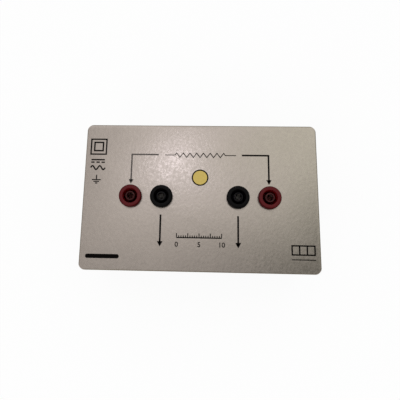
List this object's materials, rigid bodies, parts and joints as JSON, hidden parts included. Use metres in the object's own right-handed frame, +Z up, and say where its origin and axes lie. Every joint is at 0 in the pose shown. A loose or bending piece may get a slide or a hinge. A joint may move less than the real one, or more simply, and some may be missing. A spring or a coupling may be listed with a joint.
{
  "type": "current shunt",
  "caption": "Flat instrument box with a silver face plate and a row of red and black safety sockets, wired inside to a folded resistance strip between brass bars.",
  "frame": {"origin": "on the table under the middle of the box", "axes": "+Z up out of the face plate, +X to the plate's right, +Y to its rear edge, the picture's top"},
  "size_m": [0.151, 0.0954, 0.053],
  "materials": {
    "plate": "satin, fine grain",
    "film": "matte",
    "case": "fine moulded texture",
    "socket_red": "semi-gloss",
    "socket_black": "semi-gloss",
    "guard": "semi-matt",
    "nickel": "nickel plated, satin",
    "bus_brass": "milled",
    "manganin": "rolled, slightly heat tinted",
    "zinc_steel": "zinc plated",
    "tin": "tinned, satin",
    "foot_rubber": "matte",
    "wire_red": "soft gloss",
    "sleeve": "shrunk, satin",
    "ink": "printed, matte",
    "label_yellow": "printed, matte"
  },
  "bodies": {
    "root": {"face_plate": "plate", "adhesive_film": "film", "lid": "case", "case_tub": "case", "case_screws": "zinc_steel", "threaded_inserts": "bus_brass", "front_left_foot": "foot_rubber", "front_right_foot": "foot_rubber", "rear_left_foot": "foot_rubber", "rear_right_foot": "foot_rubber", "red_left_socket": "socket_red", "black_left_socket": "socket_black", "black_right_socket": "socket_black", "red_right_socket": "socket_red", "red_left_contact": "nickel", "black_left_contact": "nickel", "black_right_contact": "nickel", "red_right_contact": "nickel", "contact_guards": "guard", "panel_nuts": "nickel", "stud_washers": "zinc_steel", "stud_lock_washers": "zinc_steel", "stud_nuts": "zinc_steel", "left_bus_bar": "bus_brass", "right_bus_bar": "bus_brass", "resistance_strip": "manganin", "sense_screws": "zinc_steel", "sense_lock_washers": "zinc_steel", "left_bar_terminal": "tin", "right_bar_terminal": "tin", "left_stud_terminal": "tin", "right_stud_terminal": "tin", "left_sense_wire": "wire_red", "right_sense_wire": "wire_red", "heat_shrink_sleeves": "sleeve"}
  },
  "joints": []
}
